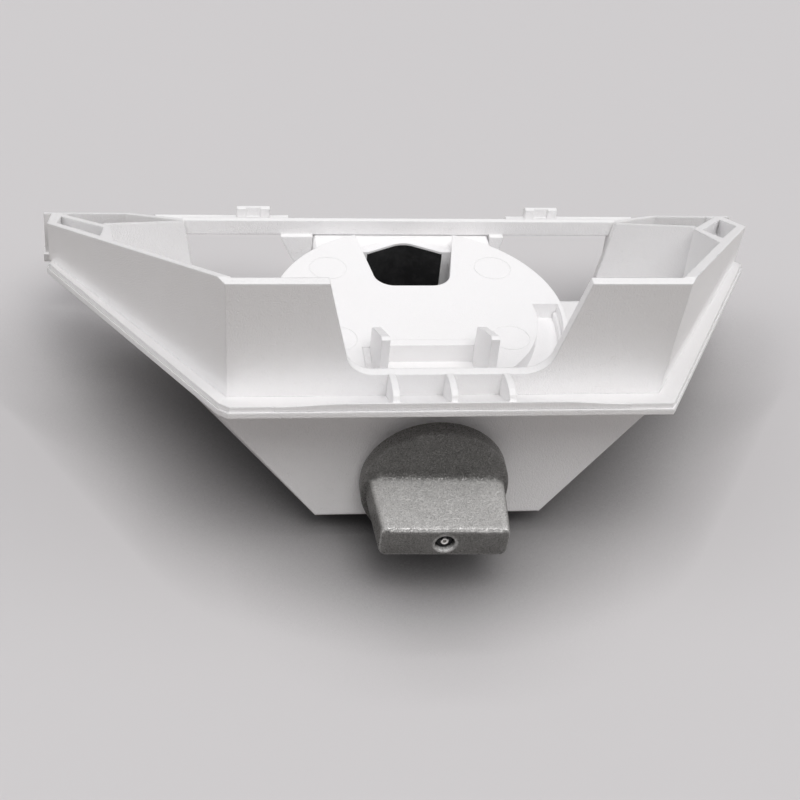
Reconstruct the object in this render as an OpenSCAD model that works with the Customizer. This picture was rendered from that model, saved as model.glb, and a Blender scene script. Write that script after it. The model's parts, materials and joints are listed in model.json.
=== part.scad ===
// Pole mount adapter: a tilted moulded frame on a deep bowl that clamps on a round pole.
// Units are millimetres. Z runs along the pole, -Y is the knob side, +X is the viewer's right.
// The origin is the centre of the round top plate, on its upper face.

/* [Frame] */
// Half width of the front wall at the rim
front_top_half = 68.7; // [55:0.1:80]
// How much narrower the front wall is at its foot, on each side
front_taper = 1.5; // [0:0.1:4]
// Front wall distance at the rim
front_top_y = 62.3; // [54:0.1:70]
// Front wall distance at its foot
front_foot_y = 58.2; // [50:0.1:66]
// Height of the foot of the front wall
front_foot_z = 12.4; // [8:0.1:20]
// Half width at the rear corners
rear_half = 124.5; // [100:0.5:140]
// Where the side walls turn straight back
side_turn_y = 43.9; // [36:0.1:52]
// Outer face of the wing rear walls
wing_rear_y = 70.4; // [64:0.2:76]
// Half width where the wing rear wall starts to slant
slant_x = 97; // [88:1:106]
// Half width of the open rear between the wings
open_half = 77.3; // [68:0.1:84]
// Front face of the cross bar
bar_y = 52.3; // [48:0.1:58]
// Front face of the hook rail behind it
rail_y = 62; // [58:0.1:66]
// Wall thickness of the frame
frame_wall = 3.2; // [2:0.1:5]
// Height of the rim plane over the origin
rim_z = 28.1; // [22:0.1:34]
// Fall of the rim plane per millimetre to the rear
rim_fall = 0.5; // [0.3:0.01:0.7]
// Height of the level rim of the front wall
front_top_z = 57.4; // [50:0.1:64]
// Depth of the wing rear walls under the origin
wing_depth = 23; // [16:1:30]
// Height of the cross bar
bar_h = 5.8; // [4:0.1:10]
// Thickness of the cross bar
bar_t = 2; // [1.5:0.1:4]

/* [Flange] */
// Front edge of the flange
flange_front_y = 72.6; // [64:0.1:78]
// How far the bevelled front corner stands out on each side
flange_bevel = 2.7; // [1:0.1:6]
// Distance of the bevelled front corner
flange_corner_y = 67; // [60:0.1:74]
// Rear end of the side flanges
flange_rear_y = 39; // [34:0.5:50]
// Height of the rear end of the side flanges
flange_rear_z = -7.2; // [-12:0.1:0]
// Rise of the front ledge per millimetre to the front
front_rise = 0.55; // [0.2:0.01:0.8]
// Thickness of the frame flange
flange_t = 1.9; // [1.2:0.1:3]
// Thickness of the bowl lip under it
lip_t = 2.1; // [1:0.1:3]
// Shadow gap between the flange and the bowl lip
lip_gap = 0.2; // [0.05:0.05:0.4]
// How far the bowl lip stands out from the flange edge
lip_out = 0.7; // [0:0.1:2]

/* [Notch and ribs] */
// Half width of the notch at the rim
notch_top_half = 38.7; // [30:0.1:46]
// Half width of the notch at its floor, before the corner round
notch_low_half = 30.1; // [22:0.1:38]
// Height of the notch floor
notch_z = 21.2; // [16:0.1:30]
// Corner round of the notch
notch_r = 9; // [4:0.5:14]
// Distance between the three stiffening ribs
rib_pitch = 17.6; // [12:0.1:22]
// Thickness of a rib
rib_t = 2.2; // [1.5:0.1:4]

/* [Bowl] */
// Rear end of the bowl floor between the wing plates
floor_rear_y = 48.4; // [44:0.1:52]
// Half width of the bowl floor at the front
bowl_low_half = 37.2; // [30:0.1:50]
// Lowest point of the bowl
bowl_depth = 42.1; // [34:0.1:50]
// Front face distance at the lowest edge
bowl_front_y = 52.9; // [46:0.1:58]
// Lean of the front face per millimetre of height
bowl_lean = 0.13; // [0:0.01:0.3]
// Rise of the floor per millimetre to the rear
floor_rise = 0.085; // [0:0.005:0.2]
// Wall thickness of the bowl
bowl_wall = 2.8; // [2:0.1:4]
// Thickness of the two wing plates
plate_t = 2.4; // [1.6:0.1:4]
// Lean of the inner edge of a wing plate per millimetre of height
plate_lean = 0.145; // [0:0.005:0.3]

/* [Top plate] */
// Radius of the round top plate
disc_r = 50; // [40:1:60]
// Thickness of its web
disc_t = 3; // [2:0.1:5]
// Depth of its skirt
disc_h = 8; // [6:0.1:14]
// Inner radius of the arc channel
channel_r = 40; // [34:0.5:46]
// Depth of the arc channel floor
channel_z = 6; // [3:0.1:8]
// Half width of the pole cut-out at its front
cut_half = 13.2; // [10:0.1:18]
// Half width of the pole cut-out at the rear edge
cut_rear_half = 17.6; // [14:0.1:24]
// Front end of the pole cut-out
cut_y = 16; // [10:0.5:22]
// Corner round of the cut-out
cut_r = 7; // [2:0.5:10]
// Half distance between the clip ears
ear_x = 17.35; // [12:0.05:22]
// Thickness of an ear
ear_t = 2.7; // [1.8:0.1:4]
// Half width of the front recess
recess_half = 21.2; // [18:0.1:26]
// Front chord of the plate between the ears
chord_y = 18; // [12:0.5:24]

/* [Pole clamp] */
// Radius of the pole the clamp is drawn for
pole_r = 12.5; // [10:0.5:16]
// Distance of the pole axis behind the plate centre
pole_y = 33.5; // [28:0.1:36]
// Half width of the jaw block
block_half = 32; // [28:0.5:38]
// Front face of the jaw block
block_y = 41; // [39:0.5:46]
// Depth of the jaw block
block_d = 14; // [10:0.5:20]
// Top of the jaw block under the plate face
block_top = 3.5; // [1:0.1:6]
// Thickness of the rubber liners
liner_t = 2; // [1:0.1:3]
// Height of the clamp axis under the plate face
axis_drop = 26; // [24:0.5:32]
// Travel of the pressure shoe
shoe_travel = 12; // [6:1:16]
// Width of the pressure shoe
shoe_w = 30; // [20:1:40]
// Height of the pressure shoe
shoe_h = 14; // [10:1:18]

/* [Spindle and knob] */
// Thread diameter of the spindle
spindle_d = 8; // [6:1:12]
// Diameter of the knob
knob_d = 47.8; // [36:0.1:60]
// Thickness of the knob disc
knob_t = 6; // [4:0.1:14]
// Reach of the grip in front of the knob disc
grip_reach = 24.5; // [14:0.5:30]
// Thickness of the grip
grip_t = 10.6; // [8:0.1:18]
// Length of the grip
grip_len = 44.3; // [30:0.1:48]
// Taper of the grip's length towards its end, as a share
grip_taper = 0.08; // [0:0.01:0.2]
// Swell of the grip's thickness towards its end, as a share
grip_swell = 0.08; // [0:0.01:0.2]
// Round of the grip's long edges
grip_round = 2.6; // [1:0.1:4]
// Round of the grip's end
grip_end_round = 1.8; // [0.5:0.1:3]
// Fillet where the grip meets the knob disc
root_fillet_r = 2.3; // [0.5:0.1:4]
// Turn of the grip at rest
grip_turn = 1.8; // [-10:0.1:10]
// Depth of the screw's seat in the end of the grip
screw_seat = 6.2; // [4:0.1:10]
// Gap behind the knob when the pole is clamped
knob_gap = 0.5; // [0.3:0.1:2]
// Running clearance of the spindle in its bores, on the radius
run_fit = 0.05; // [0.02:0.01:0.1]
// Clearance between pieces that move past each other
move_gap = 0.4; // [0.3:0.05:1]

/* [Hidden] */
$fn = 64;
big = 400;
white = [0.93, 0.93, 0.94];
grey = [0.33, 0.32, 0.31];
black = [0.06, 0.06, 0.06];
steel = [0.7, 0.7, 0.72];
brass = [0.75, 0.6, 0.3];
knob_r = knob_d / 2;
front_foot_half = front_top_half - front_taper;
flange_front_half = front_foot_half;
flange_corner_half = front_foot_half + flange_bevel;
flange_rear_half = rear_half - 0.2;
wing_cut = rear_half - 6.5;
jaw_screw_d = 3;
jaw_screw_z = [12 - axis_drop, -6 - axis_drop];
axis_z = -axis_drop;
knob_back = bowl_front_y + knob_gap;
knob_front = knob_back + knob_t;
grip_end = knob_front + grip_reach;
seat_y = grip_end - screw_seat;
spindle_front = seat_y - 9;
rim_round = 1.1;
plate_x = 28.9;
plate_y1 = -13.6;
plate_y2 = 26.3;
plate_screw_d = 3;
well_z = -20;
pole_front = pole_y - pole_r;
shoe_y = pole_front - liner_t;
shoe_len = 12;
shoe_reach = 18.6;
liner_half = 11;
shoe_back = shoe_y - shoe_len;
jaw_screw_x = 27.2;
tower_in = 23.4;
guide_half = shoe_w / 2 + move_gap;
guide_end = 16;
stop_y = shoe_back - shoe_travel - move_gap;
wing_plate_x = rear_half - 17;
wing_plate_y = 44.5;
boss_y = bowl_front_y - 0.1;
washer_t = 0.8;
side_foot = [bowl_low_half, -bowl_front_y, -bowl_depth];
side_crease = [0.825, bowl_lean, 1];
side_run = [flange_rear_half - 56, 101.4, 8.4];
pocket_screw = [rear_half - 16.3, side_turn_y - 10.9];
pt_top = [front_top_half, -front_top_y, front_top_z];
pt_foot = [front_foot_half, -front_foot_y, front_foot_z];
pt_rear = [rear_half, side_turn_y, 6];
ledge_n = [0, front_rise, 1];
ledge_d = front_foot_z - front_rise * front_foot_y;
corner_z = ledge_d + front_rise * flange_corner_y;
side_n0 = unit(cross(pt_foot - pt_top, pt_rear - pt_top));
wall_n = side_n0[0] > 0 ? side_n0 : -side_n0;
wall_d = wall_n * pt_top;
front_n = unit([0, front_foot_z - front_top_z, front_foot_y - front_top_y]);
front_d = front_n * pt_foot;
fl_n0 = cross([flange_corner_half, -flange_corner_y, corner_z] - pt_foot,
    [flange_rear_half, flange_rear_y, flange_rear_z] - pt_foot);
fl_n = fl_n0 / fl_n0[2];
fl_d = fl_n * pt_foot;
bowl_n0 = unit(cross(side_crease, side_run));
bowl_n = bowl_n0[0] > 0 ? bowl_n0 : -bowl_n0;
bowl_d = bowl_n * side_foot;
pocket_z = flange_at(pocket_screw) + 2.889;

function rim_at(y) = rim_z - rim_fall * y;
function ledge_at(y) = ledge_d - front_rise * y;
function flange_at(p) = fl_d - fl_n[0] * p[0] - fl_n[1] * p[1];
function flip(n) = [-n[0], n[1], n[2]];
function unit(v) = v / norm(v);

// A half space: everything on the near side of the plane n.p = d.
module under(n, d) {
    u = unit(n);
    translate(u * d / norm(n))
        rotate([0, acos(u[2]), atan2(u[1], u[0])])
            translate([-big, -big, -2 * big])
                cube([2 * big, 2 * big, 2 * big]);
}

module at_plate_screws() {
    for (x = [-1, 1])
        for (y = [plate_y1, plate_y2])
            translate([x * plate_x, y, 0]) children();
}

module both() {
    children();
    mirror([1, 0, 0]) children();
}

module along_y() {
    rotate([-90, 0, 0]) children();
}

// The tapering body of the frame, moved in by an inset.
module frame_body(inset) {
    intersection() {
        under(front_n, front_d - inset);
        under(wall_n, wall_d - inset);
        under(flip(wall_n), wall_d - inset);
        under([1, 0, 0], rear_half - inset);
        under([-1, 0, 0], rear_half - inset);
        under([0, 1, 0], wing_rear_y - inset);
    }
}

module flange_outline() {
    polygon([
        [-flange_front_half, -flange_front_y],
        [flange_front_half, -flange_front_y],
        [flange_corner_half, -flange_corner_y],
        [flange_rear_half, flange_rear_y],
        [rear_half - 1, side_turn_y + 2],
        [-rear_half + 1, side_turn_y + 2],
        [-flange_rear_half, flange_rear_y],
        [-flange_corner_half, -flange_corner_y]
    ]);
}

// Slab under the front ledge plane, between two depths.
module ledge_slab(down, t) {
    multmatrix([[1, 0, 0, 0], [0, 1, 0, 0], [0, -front_rise, 1, ledge_d - down - t], [0, 0, 0, 1]])
        linear_extrude(t) children();
}

// Slab under the right side flange plane, between two depths.
module side_slab(down, t) {
    multmatrix([[1, 0, 0, 0], [0, 1, 0, 0], [-fl_n[0], -fl_n[1], 1, fl_d - down - t], [0, 0, 0, 1]])
        linear_extrude(t) children();
}

module front_zone() {
    polygon([
        [-flange_front_half - 6, -90], [flange_front_half + 6, -90],
        [flange_corner_half + 1.8, -flange_corner_y - 6.1], [front_foot_half, -front_foot_y],
        [front_foot_half - 5.9, -front_foot_y + 20], [-front_foot_half + 5.9, -front_foot_y + 20],
        [-front_foot_half, -front_foot_y], [-flange_corner_half - 1.8, -flange_corner_y - 6.1]
    ]);
}

module side_zone() {
    polygon([
        [flange_corner_half + 1.8, -flange_corner_y - 6.1], [140, -flange_corner_y - 6.1], [140, 60],
        [50, 60], [50, -front_foot_y + 20], [front_foot_half - 5.9, -front_foot_y + 20],
        [front_foot_half, -front_foot_y]
    ]);
}

// The flared flange ring as a slab of thickness t, its outline moved out by grow.
module flared(down, t, grow) {
    ledge_slab(down, t)
        intersection() {
            offset(delta = grow) flange_outline();
            front_zone();
        }
    both()
        side_slab(down, t)
            intersection() {
                offset(delta = grow) flange_outline();
                side_zone();
            }
}

module front_and_sides() {
    difference() {
        intersection() {
            difference() {
                frame_body(0);
                frame_body(frame_wall);
            }
            under([0, rim_fall, 1], rim_z);
            translate([-big, -big, -40]) cube([2 * big, 2 * big, 40 + front_top_z]);
        }
        ledge_slab(0.6, 60) front_zone();
        both() side_slab(0.6, 60) side_zone();
        translate([-wing_cut, bar_y - 12, -big]) cube([2 * wing_cut, 60, 2 * big]);
        translate([-140, side_turn_y - 8, -80]) cube([280, 60, 80 - 9.4 - 3]);
    }
}

module wing_rears() {
    intersection() {
        both()
            translate([0, 0, -wing_depth])
                linear_extrude(50)
                    polygon([
                        [open_half - 0.6, bar_y],
                        [open_half + 1.4, bar_y],
                        [slant_x + 1.2, wing_rear_y - 2.6],
                        [rear_half + 2.7, wing_rear_y - 2.6],
                        [rear_half + 2.7, wing_rear_y],
                        [slant_x, wing_rear_y],
                        [open_half - 0.6, bar_y + 3.4]
                    ]);
        under([0, rim_fall, 1], rim_z);
    }
    // Stepped foot along the lower edge of the wing rear wall.
    both()
        translate([slant_x - 1, wing_rear_y - 3.6, -wing_depth - 3])
            cube([rear_half + 3.3 - slant_x + 1, 4.6, 3.2]);
}

module pocket_boss() {
    both()
        intersection() {
            difference() {
                translate([rear_half, side_turn_y, pocket_z - 5])
                    linear_extrude(60)
                        polygon([
                            [-23.3, -36.7], [-21.1, -36.7], [-1.2, 0.5],
                            [-1.4, wing_rear_y - side_turn_y - 1.5],
                            [-2.5, wing_rear_y - side_turn_y - 1.5], [-21.6, -6.3]
                        ]);
                translate([rear_half, side_turn_y, pocket_z])
                    linear_extrude(60)
                        polygon([[-18.7, -27.7], [-3.2, 0.9], [-3.9, 16.7], [-19.3, -8.7]]);
                side_slab(0.6, 60) side_zone();
                translate([pocket_screw[0], pocket_screw[1], pocket_z - 12])
                    cylinder(d = 3.2, h = 20, $fn = 24);
            }
            under([0, rim_fall, 1], rim_z);
        }
}

module notch_cut() {
    translate([0, -front_foot_y + 12, 0])
        rotate([90, 0, 0])
            linear_extrude(30)
                offset(r = notch_r) offset(delta = -notch_r)
                    polygon([
                        [-notch_top_half - 7, front_top_z + 30], [-notch_low_half, notch_z],
                        [notch_low_half, notch_z], [notch_top_half + 7, front_top_z + 30]
                    ]);
}

module rib() {
    rotate([90, 0, 90])
        translate([0, 0, -rib_t / 2])
            linear_extrude(rib_t)
                polygon([
                    [-front_foot_y + 0.4, ledge_at(-front_foot_y) - 0.6], [-front_foot_y - 0.4, notch_z],
                    [-front_foot_y - 3.6, notch_z + 1.3], [-front_foot_y - 7, notch_z + 2],
                    [-front_foot_y - 10.4, notch_z + 2], [-front_foot_y - 12.6, notch_z + 1.4],
                    [-flange_front_y + 0.6, ledge_at(-flange_front_y) + 0.4],
                    [-flange_front_y + 0.6, ledge_at(-flange_front_y) - 1]
                ]);
}

// Low raised edge of the ledge between the ribs.
module ledge_bead() {
    ledge_slab(-1, 1.6)
        polygon([
            [-31, -flange_front_y], [31, -flange_front_y], [22, -flange_front_y + 1.6],
            [-22, -flange_front_y + 1.6]
        ]);
}

module cross_bar() {
    translate([-open_half - 1, bar_y, rim_at(bar_y) - bar_h])
        cube([2 * open_half + 2, bar_t, bar_h]);
    // Hook rails behind the bar and the low web that carries them.
    both() {
        translate([40, rail_y, rim_at(rail_y) - 4]) cube([47.6, 2.2, 3.4]);
        translate([40, bar_y + bar_t - 0.1, rim_at(rail_y) - 2.1])
            cube([38.4, rail_y - bar_y - bar_t + 0.2, 1.5]);
        translate([78, bar_y + bar_t + 3, rim_at(rail_y) - 2.1])
            cube([5, rail_y - bar_y - bar_t - 2.8, 1.5]);
    }
    both() hook_tab();
    gusset(5);
    mirror([1, 0, 0]) gusset(11.5);
}

module hook_tab() {
    translate([46.8, rail_y + 0.2, rim_at(rail_y) - 2.4])
        difference() {
            cube([11.9, 3, 5.6]);
            translate([3.4, -0.1, 2.2]) cube([5.1, 1, 5]);
            translate([-0.1, 3.2, 4.4]) rotate([45, 0, 0]) cube([12.2, 3, 3]);
        }
}

// Gusset between the cross bar and the jaw block, its reach at the bar given.
module gusset(reach) {
    foot = block_half + 0.1;
    translate([0, bar_y + 2, 0])
        rotate([90, 0, 0])
            linear_extrude(4)
                polygon([
                    [foot, rim_at(bar_y) - bar_h + 0.3], [foot + reach, rim_at(bar_y) - bar_h + 0.3],
                    [foot + 0.57 * reach, -14.2], [foot + 1.9, -26], [foot, -26]
                ]);
}

module frame() {
    color(white) {
        difference() {
            front_and_sides();
            notch_cut();
        }
        difference() {
            flared(0, flange_t, 0);
            frame_body(frame_wall);
            translate([-wing_cut, bar_y - 12, -big]) cube([2 * wing_cut, 60, 2 * big]);
        }
        wing_rears();
        pocket_boss();
        cross_bar();
        ledge_bead();
        rib();
        translate([rib_pitch, 0, 0]) rib();
        translate([-rib_pitch, 0, 0]) rib();
    }
}

module bowl_solid(inset) {
    intersection() {
        under([0, -1, bowl_lean], bowl_front_y - bowl_lean * bowl_depth - inset);
        under(bowl_n, bowl_d - inset);
        under(flip(bowl_n), bowl_d - inset);
        under([0, floor_rise, -1], floor_rise * -bowl_front_y + bowl_depth - inset);
        rear_limit(inset);
        translate([-150, -90, -80]) cube([300, 180, 120]);
    }
}

// The rear of the bowl: wing plates at the sides, open in the middle.
module rear_limit(inset) {
    translate([0, 0, -80])
        linear_extrude(180)
            polygon([
                [-140, -90], [140, -90], [140, wing_plate_y - 8.6 - inset],
                [wing_plate_x, wing_plate_y - inset], [open_half - 4.4, bar_y + 0.4 - inset],
                [open_half - 6, floor_rear_y], [-open_half + 6, floor_rear_y],
                [-open_half + 4.4, bar_y + 0.4 - inset], [-wing_plate_x, wing_plate_y - inset],
                [-140, wing_plate_y - 8.6 - inset]
            ]);
}

module bowl_inner() {
    intersection() {
        under([0, -1, bowl_lean], bowl_front_y - bowl_lean * bowl_depth - bowl_wall);
        under(bowl_n, bowl_d - bowl_wall);
        under(flip(bowl_n), bowl_d - bowl_wall);
        under([0, floor_rise, -1], floor_rise * -bowl_front_y + bowl_depth - bowl_wall);
    }
}

module wing_plates() {
    both()
        intersection() {
            translate([0, 0, -60])
                linear_extrude(120)
                    polygon([
                        [open_half - 4.9, bar_y + 0.6 - plate_t], [open_half - 4.9, bar_y + 0.6],
                        [wing_plate_x - 2.1, wing_plate_y + 0.27],
                        [wing_plate_x - 2.1, wing_plate_y + 0.27 - plate_t]
                    ]);
            under([-1, 0, plate_lean], -open_half + 0.1);
            under([0, floor_rise, -1], floor_rise * -bowl_front_y + bowl_depth);
            under([0, rim_fall, 1], rim_z);
        }
}

module lip() {
    difference() {
        flared(flange_t + lip_gap, lip_t, lip_out);
        bowl_inner();
        translate([-84, 20, -60]) cube([168, 60, 120]);
        translate([0, 0, -60]) linear_extrude(120)
            polygon([
                [84, 20], [wing_plate_x - 4, wing_plate_y - 5], [wing_plate_x - 4, 60],
                [-wing_plate_x + 4, 60], [-wing_plate_x + 4, wing_plate_y - 5], [-84, 20]
            ]);
    }
}

// Plan of the clamp tower: a stop wall, guide walls for the shoe, then the wider pole space.
module tower_2d() {
    difference() {
        translate([-block_half, -bowl_front_y + 2])
            square([2 * block_half, bowl_front_y - 2 + block_y - 0.1]);
        translate([-guide_half, -bowl_front_y + 15])
            square([2 * guide_half, bowl_front_y - 15 + stop_y - 3]);
        translate([-guide_half, stop_y]) square([2 * guide_half, guide_end - stop_y + 1]);
        translate([-tower_in, guide_end]) square([2 * tower_in, block_y]);
        both()
            translate([guide_half + 2.8, -bowl_front_y + 15])
                square([10, bowl_front_y - 15 + guide_end - 3]);
    }
}

module tower() {
    intersection() {
        translate([0, 0, -60])
            linear_extrude(60 - disc_h) {
                tower_2d();
                at_plate_screws() circle(d = 10.6);
            }
        bowl_solid(0.5);
    }
}

// Short posts under the pocket screws of the frame.
module pocket_posts() {
    both()
        intersection() {
            translate([pocket_screw[0], pocket_screw[1], pocket_z - 22]) cylinder(d = 7, h = 30);
            bowl_solid(0);
            side_slab(0.65, 60) side_zone();
        }
}

module below_lip() {
    difference() {
        children();
        difference() {
            translate([-160, -90, -60]) cube([320, 180, 120]);
            union() {
                ledge_slab(flange_t + 0.4, 120) front_zone();
                both() side_slab(flange_t + 0.4, 120) side_zone();
                translate([-56, -40, -60]) cube([112, 100, 70]);
                translate([-95, -50, -60]) cube([190, 110, 35]);
            }
        }
    }
}

module pole_way(z0, z1) {
    translate([0, 0, z0])
        linear_extrude(z1 - z0)
            pole_way_2d();
}

module pole_way_2d() {
    offset(r = cut_r) offset(delta = -cut_r)
        polygon([
            [-cut_half + 0.9, cut_y], [cut_half - 0.9, cut_y],
            [cut_rear_half, disc_r - 3], [cut_rear_half + 5, disc_r + 30],
            [-cut_rear_half - 5, disc_r + 30], [-cut_rear_half, disc_r - 3]
        ]);
}

module bowl() {
    color(white)
        difference() {
            union() {
                below_lip()
                    difference() {
                        bowl_solid(0);
                        bowl_inner();
                    }
                wing_plates();
                lip();
                tower();
                pocket_posts();
                // Flat boss that the knob bears on.
                translate([0, -boss_y, axis_z]) along_y() cylinder(d = 27, h = 6);
            }
            // Bore of the spindle and seat of the thread insert.
            translate([0, -bowl_front_y - 2, axis_z]) along_y() cylinder(r = spindle_d / 2 + 0.5, h = 60);
            translate([0, -bowl_front_y + 6, axis_z]) along_y() cylinder(d = 12, h = 12, $fn = 48);
            // Seat of the thrust washer.
            translate([0, -bowl_front_y - 2, axis_z]) along_y() cylinder(d = 22.4, h = 2.6, $fn = 48);
            // Way of the pole through the floor.
            pole_way(-60, -bowl_depth + 20);
            // Seat of the jaw block and the slide of the shoe.
            translate([-block_half - 0.1, block_y - 0.05, -60]) cube([2 * block_half + 0.2, 20, 60]);
            translate([-guide_half, stop_y, axis_z - shoe_h / 2 - move_gap]) cube([2 * guide_half, 34, 20]);
            // Deep wells for the plate screws, driven from below.
            at_plate_screws() {
                translate([0, 0, -60]) cylinder(d = 7, h = 60 + well_z, $fn = 32);
                translate([0, 0, -40]) cylinder(d = plate_screw_d + 0.5, h = 40, $fn = 24);
            }
            for (x = [-1, 1])
                for (z = jaw_screw_z)
                    translate([x * jaw_screw_x, block_y - 8, z])
                        along_y() cylinder(d = jaw_screw_d + 0.02, h = 10, $fn = 24);
            both()
                translate([pocket_screw[0], pocket_screw[1], pocket_z - 16])
                    cylinder(d = 2.42, h = 14, $fn = 24);
        }
}

module top_plate() {
    color(white)
        difference() {
            union() {
                translate([0, 0, -disc_h]) cylinder(r = disc_r, h = disc_h, $fn = 128);
                ears();
                // Low bead along the front chord.
                translate([-ear_x, -chord_y, -1]) cube([2 * ear_x, 3.2, 1.45]);
            }
            // Hollow underside with bosses left standing.
            difference() {
                translate([0, 0, -disc_h - 1]) cylinder(r = disc_r - 3, h = disc_h - disc_t + 1, $fn = 96);
                translate([0, 0, -disc_h - 1])
                    linear_extrude(disc_h + 2)
                        offset(delta = 2.6) pole_way_2d();
                translate([-recess_half - 2.4, -60, -disc_h])
                    cube([2 * recess_half + 4.8, 60 - chord_y + 2.4, 9]);
                at_plate_screws() translate([0, 0, -disc_h]) cylinder(d = 9, h = disc_h);
                translate([0, 0, -disc_h])
                    linear_extrude(disc_h)
                        difference() {
                            circle(r = disc_r - 1, $fn = 96);
                            circle(r = channel_r - 2.4, $fn = 96);
                            translate([-60, 8]) square([120, 60]);
                        }
            }
            // Arc channels at the front, left and right.
            translate([0, 0, -channel_z])
                linear_extrude(channel_z + 1)
                    difference() {
                        circle(r = disc_r - 1.4, $fn = 128);
                        circle(r = channel_r, $fn = 128);
                        translate([-60, 5.4]) square([120, 60]);
                        translate([-recess_half - 2, -60]) square([2 * recess_half + 4, 60]);
                    }
            // Front recess around the clip ears.
            difference() {
                translate([-recess_half, -60, -disc_h + 1.6])
                    cube([2 * recess_half, 60 - chord_y, disc_h + 4]);
                both() translate([ear_x - ear_t / 2, -60, -10]) cube([ear_t, 60 - chord_y + 1, 60]);
            }
            pole_way(-disc_h - 1, 1);
            // Room for the top of the jaw block.
            translate([-block_half - 0.1, block_y - 0.1, -disc_h - 1])
                cube([2 * block_half + 0.2, 20, disc_h + 1 - disc_t - 0.3]);
            at_plate_screws()
                translate([0, 0, -disc_h - 0.1]) cylinder(d = plate_screw_d, h = 6.1, $fn = 24);
            // Faint round witness marks over the bosses.
            at_plate_screws()
                translate([0, 0, -0.12])
                    difference() {
                        cylinder(d = 13.1, h = 1, $fn = 48);
                        translate([0, 0, -1]) cylinder(d = 12.5, h = 3, $fn = 48);
                    }
            // Keeps the front of the round plate clear of the frame wall.
            under([0, 1, 0.13], -bowl_front_y + bowl_lean * bowl_depth + 5.5);
        }
}

module ears() {
    both()
        translate([ear_x - ear_t / 2, 0, 0])
            rotate([90, 0, 90])
                linear_extrude(ear_t)
                    polygon([
                        [-chord_y + 0.5, -disc_h + 0.5], [-chord_y - 0.6, 8.2], [-chord_y - 1.8, 9.4],
                        [-39.2, 20.6], [-41, 20.4], [-41, -disc_h + 0.5]
                    ]);
}

module jaw_v(extra) {
    polygon([
        [-cut_rear_half - 6, block_y - 12], [-13.4, block_y - 12], [-13.4, block_y - 0.2 + extra],
        [-3, block_y + 5 + extra], [-1, block_y + 5.5 + extra], [1, block_y + 5.5 + extra],
        [3, block_y + 5 + extra], [13.4, block_y - 0.2 + extra], [13.4, block_y - 12],
        [cut_rear_half + 6, block_y - 12]
    ]);
}

module jaw_block() {
    color(white)
        difference() {
            intersection() {
                translate([-block_half, block_y, -bowl_depth + 5.6])
                    cube([2 * block_half, block_d, bowl_depth - 5.6 - block_top]);
                translate([0, 100, 0])
                    rotate([90, 0, 0])
                        linear_extrude(100)
                            offset(r = 3) offset(delta = -3)
                                translate([-block_half, -60]) square([2 * block_half, 60 - block_top]);
            }
            translate([0, 0, -60]) linear_extrude(70) jaw_v(0);
            // Step under the cross bar of the frame.
            translate([-40, bar_y - 0.1, rim_at(bar_y) - bar_h - 0.2]) cube([80, 20, 20]);
            // Seat of the rubber liner.
            translate([0, 0, -33.4]) linear_extrude(29) jaw_v(liner_t);
            for (x = [-1, 1])
                for (z = jaw_screw_z)
                    translate([x * jaw_screw_x, block_y - 1, z])
                        along_y() {
                            cylinder(d = 3.6, h = block_d + 2, $fn = 32);
                            translate([0, 0, block_d - 3]) cylinder(d = 7.2, h = 6, $fn = 32);
                        }
            // Lowered top behind the edge of the V.
            translate([0, 0, -block_top - 0.8])
                linear_extrude(4)
                    difference() {
                        translate([-block_half - 1, block_y - 1])
                            square([2 * block_half + 2, block_d + 2]);
                        offset(delta = 3.4) jaw_v(0);
                    }
            // Cored pockets at the back keep the wall even.
            for (x = [-11, 11])
                translate([x - 8.4, block_y + 9.6, -34]) cube([16.8, 10, 26]);
        }
}

module jaw_liner() {
    color(black)
        translate([0, 0, -33.3])
            linear_extrude(28.8)
                difference() {
                    intersection() {
                        jaw_v(liner_t - 0.05);
                        translate([-13.3, block_y - 0.1]) square([26.6, 20]);
                    }
                    jaw_v(0);
                }
}

module shoe() {
    color(grey)
        difference() {
            translate([-shoe_w / 2, shoe_back, axis_z - shoe_h / 2])
                cube([shoe_w, shoe_reach, shoe_h]);
            // Blind seat of the spindle tip and the clip slot, open at the top.
            translate([0, shoe_back - 1, axis_z])
                along_y() cylinder(d = spindle_d - 2 + 2 * run_fit, h = 8.4);
            translate([-5.9, shoe_back + 3, axis_z]) cube([11.8, 2, 20]);
            translate([0, shoe_back + 3, axis_z]) along_y() cylinder(d = 11.8, h = 2, $fn = 48);
            translate([0, pole_y, axis_z - 30]) cylinder(r = pole_r + liner_t, h = 60, $fn = 96);
        }
}

module shoe_liner() {
    color(black)
        intersection() {
            difference() {
                translate([0, pole_y, axis_z - shoe_h / 2 + 0.8])
                    cylinder(r = pole_r + liner_t - 0.02, h = shoe_h - 1.6, $fn = 96);
                translate([0, pole_y, axis_z - 30]) cylinder(r = pole_r, h = 60, $fn = 96);
            }
            translate([-liner_half, shoe_y - 10, axis_z - 20]) cube([2 * liner_half, 20, 40]);
        }
}

module spindle() {
    color(steel)
        difference() {
            union() {
                translate([0, -spindle_front, axis_z])
                    along_y()
                        cylinder(d = spindle_d - 2, h = spindle_front - knob_back + 1);
                translate([0, -knob_back + 0.2, axis_z])
                    along_y()
                        cylinder(d = spindle_d, h = knob_back + shoe_back - 0.8);
                translate([0, shoe_back - 0.7, axis_z]) along_y() cylinder(d = spindle_d - 2, h = 6.6);
            }
            // Tapped end for the knob screw.
            translate([0, -spindle_front - 1, axis_z]) along_y() cylinder(d = 4.02, h = 10, $fn = 32);
        }
}

module thread_insert() {
    color(brass)
        translate([0, -bowl_front_y + 6.05, axis_z])
            along_y()
                difference() {
                    cylinder(d = 11.95, h = 8, $fn = 48);
                    translate([0, 0, -1]) cylinder(r = spindle_d / 2 + run_fit, h = 20);
                }
}

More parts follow.
